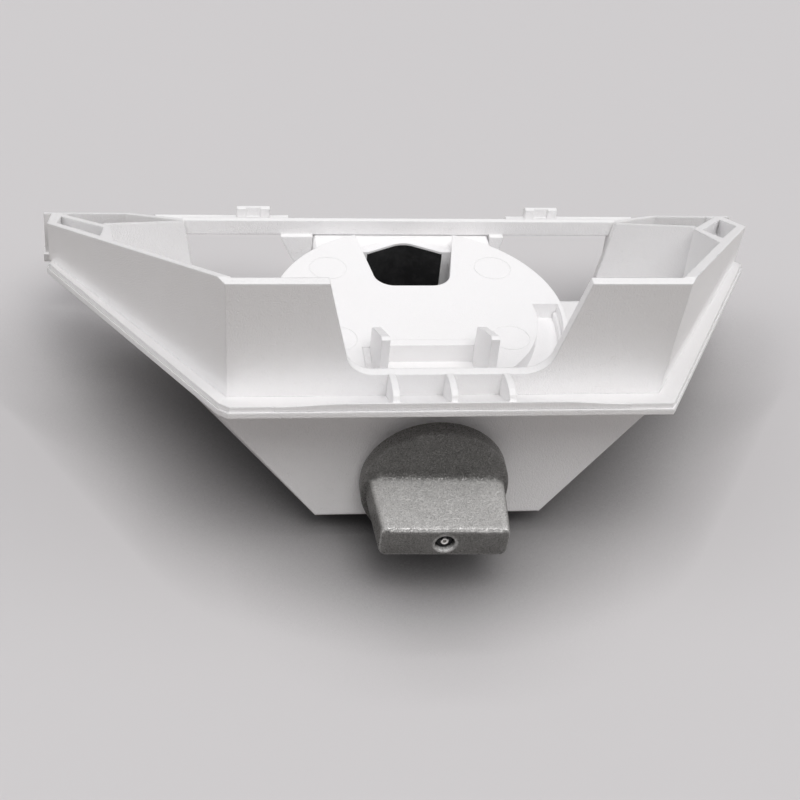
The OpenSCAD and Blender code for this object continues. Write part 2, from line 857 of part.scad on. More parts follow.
module tip_clip() {
    color(steel)
        translate([0, shoe_back + 3.4, axis_z])
            along_y()
                difference() {
                    cylinder(d = 10.6, h = 1.2, $fn = 48);
                    translate([0, 0, -1]) cylinder(d = spindle_d - 2, h = 4);
                    translate([-1.5, -10, -1]) cube([3, 8, 4]);
                }
}

module thrust_washer() {
    color(black)
        translate([0, -bowl_front_y + 0.6 - washer_t, axis_z])
            along_y()
                difference() {
                    cylinder(d = 22, h = washer_t);
                    translate([0, 0, -1]) cylinder(r = spindle_d / 2 + 0.3, h = 4);
                }
}

// Thin section of the grip at a reach from the knob face, moved in by an inset.
module grip_section(reach, inset) {
    part = reach / grip_reach;
    r = grip_round - inset / 2;
    translate([0, -knob_front - reach, axis_z])
        rotate([90, 0, 0])
            linear_extrude(0.01)
                offset(r = r) offset(delta = -r)
                    square([
                        grip_len * (1 - grip_taper * part) - 2 * inset,
                        grip_t * (1 + grip_swell * part) - 2 * inset
                    ], center = true);
}

module grip() {
    hull() {
        grip_section(-2, 0);
        for (a = [0:30:90])
            grip_section(grip_reach - grip_end_round * (1 - sin(a)), grip_end_round * (1 - cos(a)));
    }
    // Fillets along the root.
    translate([0, -knob_front, axis_z])
        rotate([90, 0, 90])
            linear_extrude(grip_len - 2 * grip_round, center = true)
                for (s = [1, -1])
                    translate([0, s * grip_t / 2])
                        scale([-1, s])
                            difference() {
                                translate([-0.5, -0.5]) square(root_fillet_r + 0.5);
                                translate([root_fillet_r, root_fillet_r]) circle(r = root_fillet_r, $fn = 48);
                            }
}

module knob() {
    color(grey)
        difference() {
            union() {
                translate([0, -knob_front, axis_z])
                    along_y()
                        rotate_extrude($fn = 96)
                            polygon(concat(
                                [[0, 0]],
                                [for (a = [0:15:90])
                                    [knob_r - rim_round * (1 - sin(a)), rim_round * (1 - cos(a))]],
                                [[knob_r, knob_t - 0.6], [knob_r - 0.6, knob_t], [0, knob_t]]
                            ));
                translate([0, 0, axis_z]) rotate([0, grip_turn, 0]) translate([0, 0, -axis_z]) grip();
            }
            // Seat of the hub and the screw well in the grip.
            translate([0, -seat_y, axis_z]) along_y() cylinder(d = 8.6, h = 60, $fn = 48);
            translate([0, -grip_end - 1, axis_z]) along_y() cylinder(d = 6.4, h = screw_seat + 2, $fn = 48);
        }
}

module knob_hub() {
    color(brass)
        translate([0, -seat_y + 0.02, axis_z])
            along_y()
                difference() {
                    cylinder(d = 8.5, h = seat_y - knob_back - 0.2, $fn = 48);
                    translate([0, 0, 8.9]) cylinder(d = spindle_d - 1.96, h = 40);
                    translate([0, 0, -1]) cylinder(d = 4.2, h = 40, $fn = 32);
                }
}

module knob_screw() {
    color(steel)
        translate([0, -seat_y - 1, axis_z])
            along_y()
                difference() {
                    union() {
                        cylinder(d = 4, h = 18, $fn = 32);
                        translate([0, 0, -3.2]) cylinder(d = 5.6, h = 3.2, $fn = 48);
                    }
                    translate([0, 0, -3.3])
                        linear_extrude(2)
                            for (a = [0, 60, 120])
                                rotate(a) square([2.8, 0.9], center = true);
                }
}

module screw_washer() {
    color(steel)
        translate([0, -seat_y - 0.98, axis_z])
            along_y()
                difference() {
                    cylinder(d = 6.2, h = 0.96, $fn = 48);
                    translate([0, 0, -1]) cylinder(d = 4.1, h = 4, $fn = 32);
                }
}

module pan_screw(d, l, head, head_h) {
    difference() {
        union() {
            translate([0, 0, -0.05]) cylinder(d = d, h = l, $fn = 24);
            translate([0, 0, -head_h]) cylinder(d1 = head * 0.84, d2 = head, h = head_h, $fn = 32);
        }
        translate([0, 0, -head_h - 0.1])
            linear_extrude(head_h * 0.6)
                for (a = [0, 90])
                    rotate(a) square([head * 0.55, head * 0.15], center = true);
    }
}

module plate_screws() {
    color(steel)
        at_plate_screws() translate([0, 0, well_z]) pan_screw(plate_screw_d, 17.4, 5.8, 2.2);
}

module jaw_screws() {
    color(steel)
        for (x = [-1, 1])
            for (z = jaw_screw_z)
                translate([x * jaw_screw_x, block_y + block_d - 3, z])
                    rotate([90, 0, 0]) pan_screw(jaw_screw_d, 18, 6.6, 2.4);
}

module pocket_screws() {
    color(steel)
        both()
            translate([pocket_screw[0], pocket_screw[1], pocket_z])
                mirror([0, 0, 1]) pan_screw(2.4, 8, 4.6, 1.7);
}

frame();
bowl();
top_plate();
jaw_block();
jaw_liner();
shoe();
shoe_liner();
spindle();
thread_insert();
tip_clip();
thrust_washer();
knob();
knob_hub();
knob_screw();
screw_washer();
plate_screws();
jaw_screws();
pocket_screws();
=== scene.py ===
"""Pole mount adapter: materials, fine detail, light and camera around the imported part."""
import json
import math

import bmesh
import bpy
from mathutils import Matrix, Vector

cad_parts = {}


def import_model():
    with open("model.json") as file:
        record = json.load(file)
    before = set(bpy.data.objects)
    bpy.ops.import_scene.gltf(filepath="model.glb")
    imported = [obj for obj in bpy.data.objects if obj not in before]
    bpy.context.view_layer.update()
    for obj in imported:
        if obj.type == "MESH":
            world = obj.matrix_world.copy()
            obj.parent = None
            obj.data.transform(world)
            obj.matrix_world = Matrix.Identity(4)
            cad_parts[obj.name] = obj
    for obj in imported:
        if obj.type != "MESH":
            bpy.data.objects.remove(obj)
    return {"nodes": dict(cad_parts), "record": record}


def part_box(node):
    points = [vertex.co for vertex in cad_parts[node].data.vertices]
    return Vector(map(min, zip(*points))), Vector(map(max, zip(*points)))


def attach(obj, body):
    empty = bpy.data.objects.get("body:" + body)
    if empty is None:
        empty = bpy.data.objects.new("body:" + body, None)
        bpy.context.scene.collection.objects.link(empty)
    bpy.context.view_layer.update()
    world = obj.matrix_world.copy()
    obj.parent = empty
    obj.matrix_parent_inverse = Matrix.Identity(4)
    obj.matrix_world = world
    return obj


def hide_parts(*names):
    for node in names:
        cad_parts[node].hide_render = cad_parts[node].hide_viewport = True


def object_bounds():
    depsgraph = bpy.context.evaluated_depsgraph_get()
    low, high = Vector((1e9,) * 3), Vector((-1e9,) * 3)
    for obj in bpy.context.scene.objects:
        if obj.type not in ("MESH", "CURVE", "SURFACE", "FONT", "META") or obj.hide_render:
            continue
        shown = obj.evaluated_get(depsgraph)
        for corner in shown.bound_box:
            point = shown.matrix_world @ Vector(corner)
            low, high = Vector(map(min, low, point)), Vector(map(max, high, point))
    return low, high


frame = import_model()
CAD_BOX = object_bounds()
NODES = frame["nodes"]
MM = 0.001

# Colours are linear RGB.
BLACK = (0.0, 0.0, 0.0)
PLASTIC_PALE = (0.956, 0.951, 0.958)
PLASTIC_WARM = (0.938, 0.931, 0.932)
# Painted highlight on the edges of the white plastic.
PLASTIC_EDGE_HIGHLIGHT = (0.985, 0.982, 0.985)
PLASTIC_SCUFF = (0.72, 0.72, 0.71)
PLASTIC_PIT = (0.78, 0.775, 0.77)
KNOB_DARK = (0.105, 0.103, 0.098)
KNOB_LIGHT = (0.28, 0.275, 0.265)
KNOB_CREASE = (0.03, 0.03, 0.029)
# Painted highlight on the knob grip's broad faces.
KNOB_PAINTED_HIGHLIGHT = (0.80, 0.795, 0.785)
KNOB_GLINT = (0.97, 0.965, 0.955)
RUBBER_BLACK = (0.012, 0.012, 0.013)
RUBBER_DUSTY = (0.03, 0.03, 0.031)
GUIDE_DARK = (0.03, 0.03, 0.033)
GUIDE_GREY = (0.055, 0.055, 0.058)
STEEL_BRIGHT = (0.62, 0.61, 0.60)
STEEL_DULL = (0.42, 0.41, 0.40)
BRASS_BRIGHT = (0.72, 0.52, 0.22)
BRASS_DULL = (0.5, 0.36, 0.16)
# Painted shade on the knob screw's head, and a painted glint round its key socket.
SCREW_PAINTED_SHADE = (0.02, 0.02, 0.021)
SCREW_PAINTED_GLINT = (0.85, 0.84, 0.82)

# Depth of each surface's fine relief.
WAVE_DEPTH = 0.4 * MM
KNOB_GRAIN = 0.3 * MM
RUBBER_PEBBLE = 0.12 * MM
GUIDE_GRAIN = 0.06 * MM
TOOL_RINGS = 0.03 * MM
SCREW_GRAIN = 0.05 * MM
FLOOR_GRAIN = 0.05 * MM

# Edge radii that the shading gives to the knob and to turned metal.
KNOB_RADIUS = 1.9 * MM
METAL_RADIUS = 0.15 * MM

# Along Y, where the painted highlight on the grip's broad faces and the painted highlight along
# its edges begin and are full.
HIGHLIGHT_FROM = -59.6 * MM
HIGHLIGHT_FULL = -61.6 * MM
EDGE_HIGHLIGHT_FROM = -61.2 * MM
EDGE_HIGHLIGHT_FULL = -62.6 * MM

# The floor as the camera sees it, how bright its faint clouds stay, and the duller floor that
# lights the part from below.
FLOOR_SEEN = (0.612, 0.599, 0.605)
FLOOR_CLOUD = 0.99
FLOOR_BOUNCE = (0.245, 0.225, 0.212)
# How far the floor lies below the part, and half its width in metres.
FLOOR_GAP = 0.6 * MM
FLOOR_HALF = 6.0
# The contact shade on the floor: reach in metres, strength, exponent, largest share, and the
# direction in which it looks for the part.
CONTACT_REACH = 0.05
CONTACT_SHADE = 1.1
CONTACT_FALL = 1.1
CONTACT_MOST = 0.97
CONTACT_LEAN = (0.0, 0.62, 0.785)
CONTACT_SAMPLES = 8

# Points closer than this are one point.
WELD = 0.002 * MM
# Bevels on CAD nodes: radius in mm, segments, and the least angle of an edge in degrees.
EDGE_ROUND = {
    "jaw_block": 0.4, "shoe": 0.3, "jaw_screws": 0.12, "plate_screws": 0.1, "pocket_screws": 0.1,
}
EDGE_SEGMENTS = 2
EDGE_ANGLE = 35
# Angle in degrees up to which facets are shaded as one round face.
SMOOTH_UNDER = {"frame": 12, "bowl": 12, "top_plate": 28, "knob": 28}

# Thread of the spindle, where the CAD spindle is a plain cylinder. It begins a little behind
# the knob, stays plain for its lead, and ends at the tip. The ends of the spindle are thinner.
THREAD_PITCH = 2.0 * MM
THREAD_DEPTH = 0.62 * MM
THREAD_SHARP = 2.6
THREAD_ROWS = 8
THREAD_AROUND = 32
THREAD_LEAD = 1.0 * MM
SPINDLE_LESS = 1.0 * MM
TIP_LENGTH = 6.5 * MM
TIP_CHAMFER = 0.5 * MM
KNOB_CLEAR = 0.2 * MM

# Screw of the knob: height of its axis, the radii within which its colour is a painted glint and
# beyond which it is painted dark as shade, with the raggedness between them, and how far its
# head stands before the CAD's.
SCREW_Z = -26 * MM
SCREW_GLINT = 1.15 * MM
SCREW_DARK = 1.4 * MM
SCREW_RAGGED = 0.15 * MM
SCREW_FORWARD = 1.1 * MM
SCREW_AROUND = 48
# The hexagonal key socket: half its width, and its two rings behind the front of the head.
KEY_FLAT = 0.62 * MM
KEY_RINGS = (1.9 * MM, 0.12 * MM)
# In mm behind the front of the head: the raised middle with its radii, then the head with how
# much less its radius is than the CAD head's.
SCREW_MIDDLE = ((0.0, 0.85), (0.02, 1.15), (0.5, 1.3))
SCREW_HEAD = ((0.52, 0.42), (0.62, 0.12), (0.95, 0.0), (3.18, 0.0))
SCREW_UNDER = 3.2 * MM
SHANK_RADIUS = 1.98 * MM
SHANK_POINT = 1.6 * MM
SHANK_CHAMFER = 0.5 * MM

# The flange's front ledge, as in the part's source: it rises from the front wall to its edge.
LEDGE_FRONT = -72.6 * MM
LEDGE_BACK = -58.2 * MM
LEDGE_BACK_TOP = 12.4 * MM
LEDGE_RISE = 0.55
# The rim on the ledge's edge: how far it stands in front, its width, where its top begins to
# fall and ends, its height, its depth in the ledge, and the chamfer of its front edge.
RIM_OUT = 0.05 * MM
RIM_WIDTH = 1.6 * MM
RIM_FALLS = 31.5 * MM
RIM_END = 54 * MM
RIM_HEIGHT = 1.03 * MM
RIM_DEPTH = 1.8 * MM
RIM_BACK_DEPTH = 0.45 * MM
RIM_CHAMFER = 0.15 * MM
RIM_CHAMFER_DROP = 0.12 * MM
RIM_STEPS = 72

# Webs beside the clip ears, in mm: Y, height at the side of the recess, height at the ear.
EAR_ROWS = (
    (-18.0, -0.1, -0.5), (-24.0, -0.3, -1.0), (-32.0, -0.8, -1.7), (-40.0, -1.5, -2.6),
    (-44.5, -2.0, -3.2),
)
EAR_SIDE = 18.69 * MM
RECESS_SIDE = 21.15 * MM
EAR_FOOT = -6.3 * MM

# Ribs along the outer walls of the arc channels, between two angles in degrees.
ARC_FROM = -60.0
ARC_TO = 6.2
ARC_STEPS = 40
ARC_INNER = 47.45 * MM
ARC_OUTER = 48.62 * MM
ARC_TOP = -3.4 * MM
ARC_FOOT = -6.05 * MM
ARC_CHAMFER = 0.35 * MM

# Underside planes of the frame's flange: normal and distance from the origin.
FLANGE_UNDER = (
    ((0.0, -0.4819, -0.8762), 18.8 * MM),
    ((-0.34, -0.37, -0.86), 35.2 * MM),
    ((0.34, -0.37, -0.86), 35.2 * MM),
)
UNDER_TURN = 0.999
UNDER_NEAR = 0.15 * MM
SEAL_DEPTH = 0.19 * MM

# Soft lamps: name, where the middle stands seen from the part, width in degrees, strength.
LAMPS = (
    ("front", (0.06, -0.42, 0.905), 36, 1.42),
    ("left", (-0.62, 0.0, 0.78), 44, 0.41),
    ("low_right", (0.88, -0.05, 0.46), 44, 0.82),
    ("low_left", (-0.93, -0.1, 0.34), 44, 0.25),
)
LAMP_COLOUR = (1.0, 0.992, 0.975)
# The backdrop as the camera sees it, and the sky that lights the part.
BACKDROP_SEEN = (0.617, 0.604, 0.610)
SKY_HORIZON = (0.240, 0.230, 0.225, 1.0)
SKY_ZENITH = (0.43, 0.43, 0.455, 1.0)

# Place and nearest distance in metres, two axes, lens and sensor in millimetres.
CAMERA_PLACE = Vector((-0.08967, -0.47135, 0.35404))
CAMERA_RIGHT = Vector((0.99023, -0.11285, 0.08189))
CAMERA_UP = Vector((0.00907, 0.63820, 0.76982))
CAMERA_LENS = 79.67
CAMERA_SENSOR = 36.0
CAMERA_NEAR = 0.01


class Graph:
    """A node tree with short calls for the nodes used here."""

    def __init__(self, tree):
        self.tree = tree

    def add(self, kind, **values):
        node = self.tree.nodes.new(kind)
        for key, value in values.items():
            setattr(node, key, value)
        return node

    def link(self, source, target):
        self.tree.links.new(source, target)

    def spread(self, source, low, high, to_low=0.0, to_high=1.0):
        node = self.add("ShaderNodeMapRange")
        node.inputs["From Min"].default_value = low
        node.inputs["From Max"].default_value = high
        node.inputs["To Min"].default_value = to_low
        node.inputs["To Max"].default_value = to_high
        self.link(source, node.inputs["Value"])
        return node.outputs["Result"]

    def math(self, operation, first, second=0.0):
        node = self.add("ShaderNodeMath", operation=operation)
        for slot, value in enumerate((first, second)):
            if isinstance(value, (int, float)):
                node.inputs[slot].default_value = value
            else:
                self.link(value, node.inputs[slot])
        return node.outputs["Value"]

    def mix(self, factor, low, high):
        node = self.add("ShaderNodeMix", data_type="RGBA")
        self.link(factor, node.inputs["Factor"])
        for slot, value in (("A", low), ("B", high)):
            socket = [s for s in node.inputs if s.name == slot and s.type == "RGBA"][0]
            if isinstance(value, tuple):
                socket.default_value = (*value, 1.0)
            else:
                self.link(value, socket)
        return [s for s in node.outputs if s.type == "RGBA"][0]

    def along(self, source, axis):
        """One part of a vector."""
        split = self.add("ShaderNodeSeparateXYZ")
        self.link(source, split.inputs["Vector"])
        return split.outputs[axis]

    def backdrop_rays(self):
        """1 on rays from the camera, off gloss and through glass, and 0 on those that light."""
        path = self.add("ShaderNodeLightPath").outputs
        seen = self.math("MAXIMUM", path["Is Camera Ray"], path["Is Glossy Ray"])
        return self.math("MAXIMUM", seen, path["Is Transmission Ray"])


class Look(Graph):
    """A material around the Principled node, in the piece's own coordinates."""

    def __init__(self, name):
        self.material = bpy.data.materials.new(name)
        self.material.use_nodes = True
        super().__init__(self.material.node_tree)
        self.bsdf = self.tree.nodes["Principled BSDF"]
        coordinates = self.add("ShaderNodeTexCoord")
        self.place = coordinates.outputs["Object"]
        self.facing = coordinates.outputs["Normal"]

    def noise(self, scale, detail=3.0, rough=0.5, stretch=None):
        node = self.add("ShaderNodeTexNoise")
        node.inputs["Scale"].default_value = scale
        node.inputs["Detail"].default_value = detail
        node.inputs["Roughness"].default_value = rough
        source = self.place
        if stretch:
            mapping = self.add("ShaderNodeMapping")
            mapping.inputs["Scale"].default_value = stretch
            self.link(source, mapping.inputs["Vector"])
            source = mapping.outputs["Vector"]
        self.link(source, node.inputs["Vector"])
        return node.outputs["Fac"]

    def worms(self, scale, low, high):
        """Thin winding lines, where a noise crosses its middle value."""
        off_middle = self.math("SUBTRACT", self.noise(scale, 2, 0.5), 0.5)
        return self.spread(self.math("ABSOLUTE", off_middle), low, high)

    def rounded(self, radius, samples):
        """Normal that runs round the edges like a small mould radius."""
        bevel = self.add("ShaderNodeBevel", samples=samples)
        bevel.inputs["Radius"].default_value = radius
        return bevel.outputs["Normal"]

    def edge(self, normal, starts=0.995, full=0.86):
        """Close to 1 on sharp edges: where the rounded normal leaves the true one."""
        geometry = self.add("ShaderNodeNewGeometry")
        dot = self.add("ShaderNodeVectorMath", operation="DOT_PRODUCT")
        self.link(normal, dot.inputs[0])
        self.link(geometry.outputs["Normal"], dot.inputs[1])
        return self.spread(dot.outputs["Value"], starts, full)

    def broad_faces(self):
        """Close to 1 on faces that look up or down in the piece's own frame."""
        return self.spread(self.math("ABSOLUTE", self.along(self.facing, "Z")), 0.45, 0.92)

    def beyond(self, start, full):
        """Rises from 0 to 1 along Y between two places."""
        return self.spread(self.along(self.place, "Y"), start, full)

    def bump(self, height, strength, distance, normal=None):
        node = self.add("ShaderNodeBump")
        node.inputs["Strength"].default_value = strength
        node.inputs["Distance"].default_value = distance
        self.link(height, node.inputs["Height"])
        if normal is not None:
            self.link(normal, node.inputs["Normal"])
        return node.outputs["Normal"]

    def finish(self, colour, roughness, normal, metallic=0.0, specular=0.5):
        self.link(colour, self.bsdf.inputs["Base Color"])
        self.link(roughness, self.bsdf.inputs["Roughness"])
        self.link(normal, self.bsdf.inputs["Normal"])
        self.bsdf.inputs["Metallic"].default_value = metallic
        self.bsdf.inputs["Specular IOR Level"].default_value = specular
        return self.material


def white_plastic(name, grain_depth, edge_radius):
    """Spark-eroded ABS: fine pitted grain, slow clouding, faint scuffs, and edges that are
    smoother and carry a painted highlight.
    """
    g = Look(name)
    clouds = g.spread(g.noise(14, 4, 0.6), 0.35, 0.7)
    grain = g.noise(2000, 3, 0.6)
    pits = g.spread(g.noise(700, 4, 0.7), 0.60, 0.74)
    scuffs = g.spread(g.noise(90, 6, 0.75, (1.0, 6.0, 3.0)), 0.62, 0.74)
    wave = g.noise(26, 1, 0.4)
    colour = g.mix(clouds, PLASTIC_PALE, PLASTIC_WARM)
    colour = g.mix(g.math("MULTIPLY", scuffs, 0.10), colour, PLASTIC_SCUFF)
    colour = g.mix(g.math("MULTIPLY", pits, 0.12), colour, PLASTIC_PIT)
    round_normal = g.rounded(edge_radius, 8)
    edges = g.edge(round_normal)
    # Painted highlight: edges are painted lighter; below, they are also made smoother.
    colour = g.mix(g.math("MULTIPLY", edges, 0.6), colour, PLASTIC_EDGE_HIGHLIGHT)
    rough = g.spread(g.noise(60, 4, 0.6), 0.3, 0.7, 0.38, 0.50)
    rough = g.math("ADD", rough, g.math("MULTIPLY", scuffs, 0.10))
    rough = g.math("SUBTRACT", rough, g.math("MULTIPLY", edges, 0.14))
    height = g.math("SUBTRACT", grain, g.math("MULTIPLY", pits, 0.35))
    normal = g.bump(wave, 0.25, WAVE_DEPTH, round_normal)
    normal = g.bump(height, 1.0, grain_depth, normal)
    return g.finish(colour, rough, normal, specular=0.42)


def knob_plastic():
    """Dark glass-filled plastic: crisp flake grain with painted glints, a painted highlight on
    the grip's broad faces, and a painted highlight along its edges.
    """
    g = Look("knob_plastic")
    creases = g.worms(1250, 0.0, 0.07)
    flakes = g.spread(g.noise(2200, 2, 0.6), 0.52, 0.62)
    glints = g.worms(1000, 0.032, 0.008)
    patches = g.spread(g.noise(60, 3, 0.6), 0.35, 0.65)
    colour = g.mix(g.math("MULTIPLY", flakes, 0.5), KNOB_DARK, KNOB_LIGHT)
    colour = g.mix(g.spread(creases, 0.0, 1.0, 0.45, 0.0), colour, KNOB_CREASE)
    colour = g.mix(g.math("MULTIPLY", glints, 0.55), colour, KNOB_LIGHT)
    colour = g.mix(g.math("MULTIPLY", patches, 0.2), colour, KNOB_LIGHT)
    # Painted highlight: the grip's broad faces, looking up and down, are painted bright, ragged
    # by noise.
    highlit_faces = g.math("MULTIPLY", g.broad_faces(), g.beyond(HIGHLIGHT_FROM, HIGHLIGHT_FULL))
    highlit_faces = g.math("MULTIPLY", highlit_faces, g.spread(g.noise(420, 4, 0.6), 0.2, 0.7, 0.75, 1.0))
    bright = g.mix(g.math("MULTIPLY", glints, 0.9), KNOB_PAINTED_HIGHLIGHT, KNOB_GLINT)
    bright = g.mix(g.spread(creases, 0.0, 1.0, 0.4, 0.0), bright, KNOB_LIGHT)
    colour = g.mix(g.math("MULTIPLY", highlit_faces, 0.9), colour, bright)
    round_normal = g.rounded(KNOB_RADIUS, 10)
    edges = g.edge(round_normal, 0.9993, 0.95)
    edges = g.math("MULTIPLY", edges, g.beyond(EDGE_HIGHLIGHT_FROM, EDGE_HIGHLIGHT_FULL))
    # Painted highlight along the grip's edges, ragged by noise, in the glint colour.
    painted_highlight = g.math("MULTIPLY", edges, g.spread(g.noise(900, 3, 0.6), 0.35, 0.6, 0.25, 0.7))
    colour = g.mix(painted_highlight, colour, KNOB_GLINT)
    rough = g.spread(g.noise(1400, 3, 0.6), 0.3, 0.7, 0.22, 0.42)
    speckle = g.math("MULTIPLY", g.noise(2600, 2, 0.5), 0.4)
    height = g.math("ADD", g.math("MULTIPLY", creases, 0.6), speckle)
    normal = g.bump(height, 1.0, KNOB_GRAIN, round_normal)
    return g.finish(colour, rough, normal, metallic=0.2, specular=0.6)


def black_rubber():
    """Matt rubber, dusty in places, with a fine pebble."""
    g = Look("black_rubber")
    dust = g.spread(g.noise(180, 5, 0.7), 0.45, 0.7)
    colour = g.mix(dust, RUBBER_BLACK, RUBBER_DUSTY)
    rough = g.spread(g.noise(300, 3), 0.3, 0.7, 0.62, 0.82)
    normal = g.bump(g.noise(1100, 2, 0.6), 0.6, RUBBER_PEBBLE)
    return g.finish(colour, rough, normal, specular=0.35)


def dark_plastic():
    """Black acetal of the shoe and washer, polished where it slides."""
    g = Look("dark_plastic")
    streaks = g.spread(g.noise(120, 5, 0.7, (1.0, 0.12, 1.0)), 0.45, 0.65)
    colour = g.mix(streaks, GUIDE_DARK, GUIDE_GREY)
    rough = g.spread(g.noise(300, 3), 0.3, 0.7, 0.42, 0.55)
    rough = g.math("SUBTRACT", rough, g.math("MULTIPLY", streaks, 0.12))
    normal = g.bump(g.noise(900, 2), 0.4, GUIDE_GRAIN)
    return g.finish(colour, rough, normal)


def turned_metal(name, bright, dull):
    """Turned metal with tool rings, oil clouding and worn bright edges."""
    g = Look(name)
    clouds = g.spread(g.noise(160, 4, 0.65), 0.4, 0.68)
    rings = g.noise(500, 2, 0.5, (0.2, 6.0, 0.2))
    edges = g.edge(g.rounded(METAL_RADIUS, 4))
    colour = g.mix(clouds, bright, dull)
    colour = g.mix(g.math("MULTIPLY", edges, 0.5), colour, bright)
    rough = g.spread(clouds, 0, 1, 0.24, 0.42)
    normal = g.bump(rings, 0.35, TOOL_RINGS)
    return g.finish(colour, rough, normal, metallic=1.0)


def screw_shade_and_glint():
    """Steel of the knob's screw: its head painted dark as shade, and a painted glint round the
    key socket.
    """
    g = Look("screw_shade_and_glint")
    aside = g.math("POWER", g.along(g.place, "X"), 2.0)
    above = g.math("POWER", g.math("SUBTRACT", g.along(g.place, "Z"), SCREW_Z), 2.0)
    reach = g.math("SQRT", g.math("ADD", aside, above))
    ragged = g.spread(g.noise(900, 3, 0.6), 0.3, 0.7, -SCREW_RAGGED, SCREW_RAGGED)
    # Painted glint near the screw's axis, painted shade beyond it.
    painted_highlight = g.spread(g.math("ADD", reach, ragged), SCREW_DARK, SCREW_GLINT)
    colour = g.mix(painted_highlight, SCREW_PAINTED_SHADE, SCREW_PAINTED_GLINT)
    rough = g.spread(g.noise(700, 3), 0.3, 0.7, 0.28, 0.45)
    normal = g.bump(g.noise(900, 3, 0.6), 0.5, SCREW_GRAIN)
    return g.finish(colour, rough, normal, metallic=0.85)


MATERIALS = {
    "white_plastic": white_plastic("white_plastic", grain_depth=0.27 * MM, edge_radius=0.7 * MM),
    "smooth_white": white_plastic("smooth_white", grain_depth=0.14 * MM, edge_radius=0.35 * MM),
    "seal_white": white_plastic("seal_white", grain_depth=0.05 * MM, edge_radius=0.03 * MM),
    "knob_plastic": knob_plastic(),
    "black_rubber": black_rubber(),
    "dark_plastic": dark_plastic(),
    "steel": turned_metal("steel", STEEL_BRIGHT, STEEL_DULL),
    "screw_shade_and_glint": screw_shade_and_glint(),
    "brass": turned_metal("brass", BRASS_BRIGHT, BRASS_DULL),
}


def paint(piece, look):
    piece.data.materials.clear()
    piece.data.materials.append(MATERIALS[look])


def weld(piece):
    piece.modifiers.new("weld", "WELD").merge_threshold = WELD


def smooth_by_angle(piece, limit):
    """Smooth shading across the facets of round faces, sharp across real edges."""
    for face in piece.data.polygons:
        face.use_smooth = True
    weld(piece)
    split = piece.modifiers.new("split", "EDGE_SPLIT")
    split.split_angle = math.radians(limit)
    split.use_edge_sharp = False


def round_edges(piece, width):
    """Small mould radii on a CAD node, by modifiers only."""
    weld(piece)
    bevel = piece.modifiers.new("bevel", "BEVEL")
    bevel.width = width
    bevel.segments = EDGE_SEGMENTS
    bevel.limit_method = "ANGLE"
    bevel.angle_limit = math.radians(EDGE_ANGLE)
    bevel.use_clamp_overlap = True
    bevel.harden_normals = True
    bevel.miter_outer = "MITER_ARC"


def cad_looks():
    """Materials and edges of the CAD nodes."""
    for part in frame["record"]["subparts"]:
        paint(NODES[part["node"]], part["material_slot"])
    for name, radius in EDGE_ROUND.items():
        round_edges(NODES[name], radius * MM)
    for name, limit in SMOOTH_UNDER.items():
        smooth_by_angle(NODES[name], limit)
    for name in ("top_plate", "jaw_block"):
        paint(NODES[name], "smooth_white")


def mesh_piece(name, points, faces, slot, body, smooth=False):
    """A new piece from points in metres, riding on a body."""
    mesh = bpy.data.meshes.new(name)
    mesh.from_pydata([tuple(p) for p in points], [], faces)
    mesh.update()
    for face in mesh.polygons:
        face.use_smooth = smooth
    piece = bpy.data.objects.new(name, mesh)
    bpy.context.scene.collection.objects.link(piece)
    paint(piece, slot)
    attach(piece, body)
    return piece


def circle(radius):
    return lambda angle: radius


def hexagon(flat):
    """Radius of a hexagon at each angle."""
    return lambda angle: flat / math.cos((angle + math.pi / 6) % (math.pi / 3) - math.pi / 6)


def thread(radius, y, fade):
    """Radius of the thread at a place on its axis, at each angle."""
    def at(angle):
        phase = (y / THREAD_PITCH - angle / (2 * math.pi)) % 1.0
        return radius - THREAD_DEPTH * fade * max(0.0, 1.0 - abs(phase - 0.5) * THREAD_SHARP)
    return at


def turned(rings, around, axis_z):
    """Points and faces of a turned shape along Y: rings of (y, radius at each angle)."""
    points, faces = [], []
    for y, radius in rings:
        for turn in range(around):
            angle = 2 * math.pi * turn / around
            r = radius(angle)
            points.append((r * math.cos(angle), y, axis_z + r * math.sin(angle)))
    last = (len(rings) - 1) * around
    for row in range(0, last, around):
        for turn in range(around):
            a = row + turn
            b = row + (turn + 1) % around
            faces.append((a, b, b + around, a + around))
    faces.append(tuple(range(around - 1, -1, -1)))
    faces.append(tuple(range(last, last + around)))
    return points, faces


def threaded_spindle():
    """The spindle with its real thread, from the box of the CAD spindle."""
    low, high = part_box("spindle")
    radius = (high.x - low.x) / 2
    core = radius - SPINDLE_LESS
    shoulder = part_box("knob")[1].y + KNOB_CLEAR
    tip_start = high.y - TIP_LENGTH
    rows = int((tip_start - shoulder) / (THREAD_PITCH / THREAD_ROWS))
    rings = [(low.y, circle(core)), (shoulder, circle(core))]
    for row in range(rows + 1):
        y = shoulder + (tip_start - shoulder) * row / rows
        fade = min(1.0, max(0.0, (y - shoulder - THREAD_LEAD) / THREAD_PITCH))
        fade = min(fade, max(0.0, (tip_start - y) / THREAD_PITCH))
        rings.append((y, thread(radius, y, fade)))
    rings += [(tip_start, circle(core)), (high.y - TIP_CHAMFER, circle(core)),
              (high.y, circle(core - TIP_CHAMFER))]
    points, faces = turned(rings, THREAD_AROUND, (low.z + high.z) / 2)
    piece = mesh_piece("spindle_threaded", points, faces, "steel", "screw_body", smooth=True)
    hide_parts("spindle")


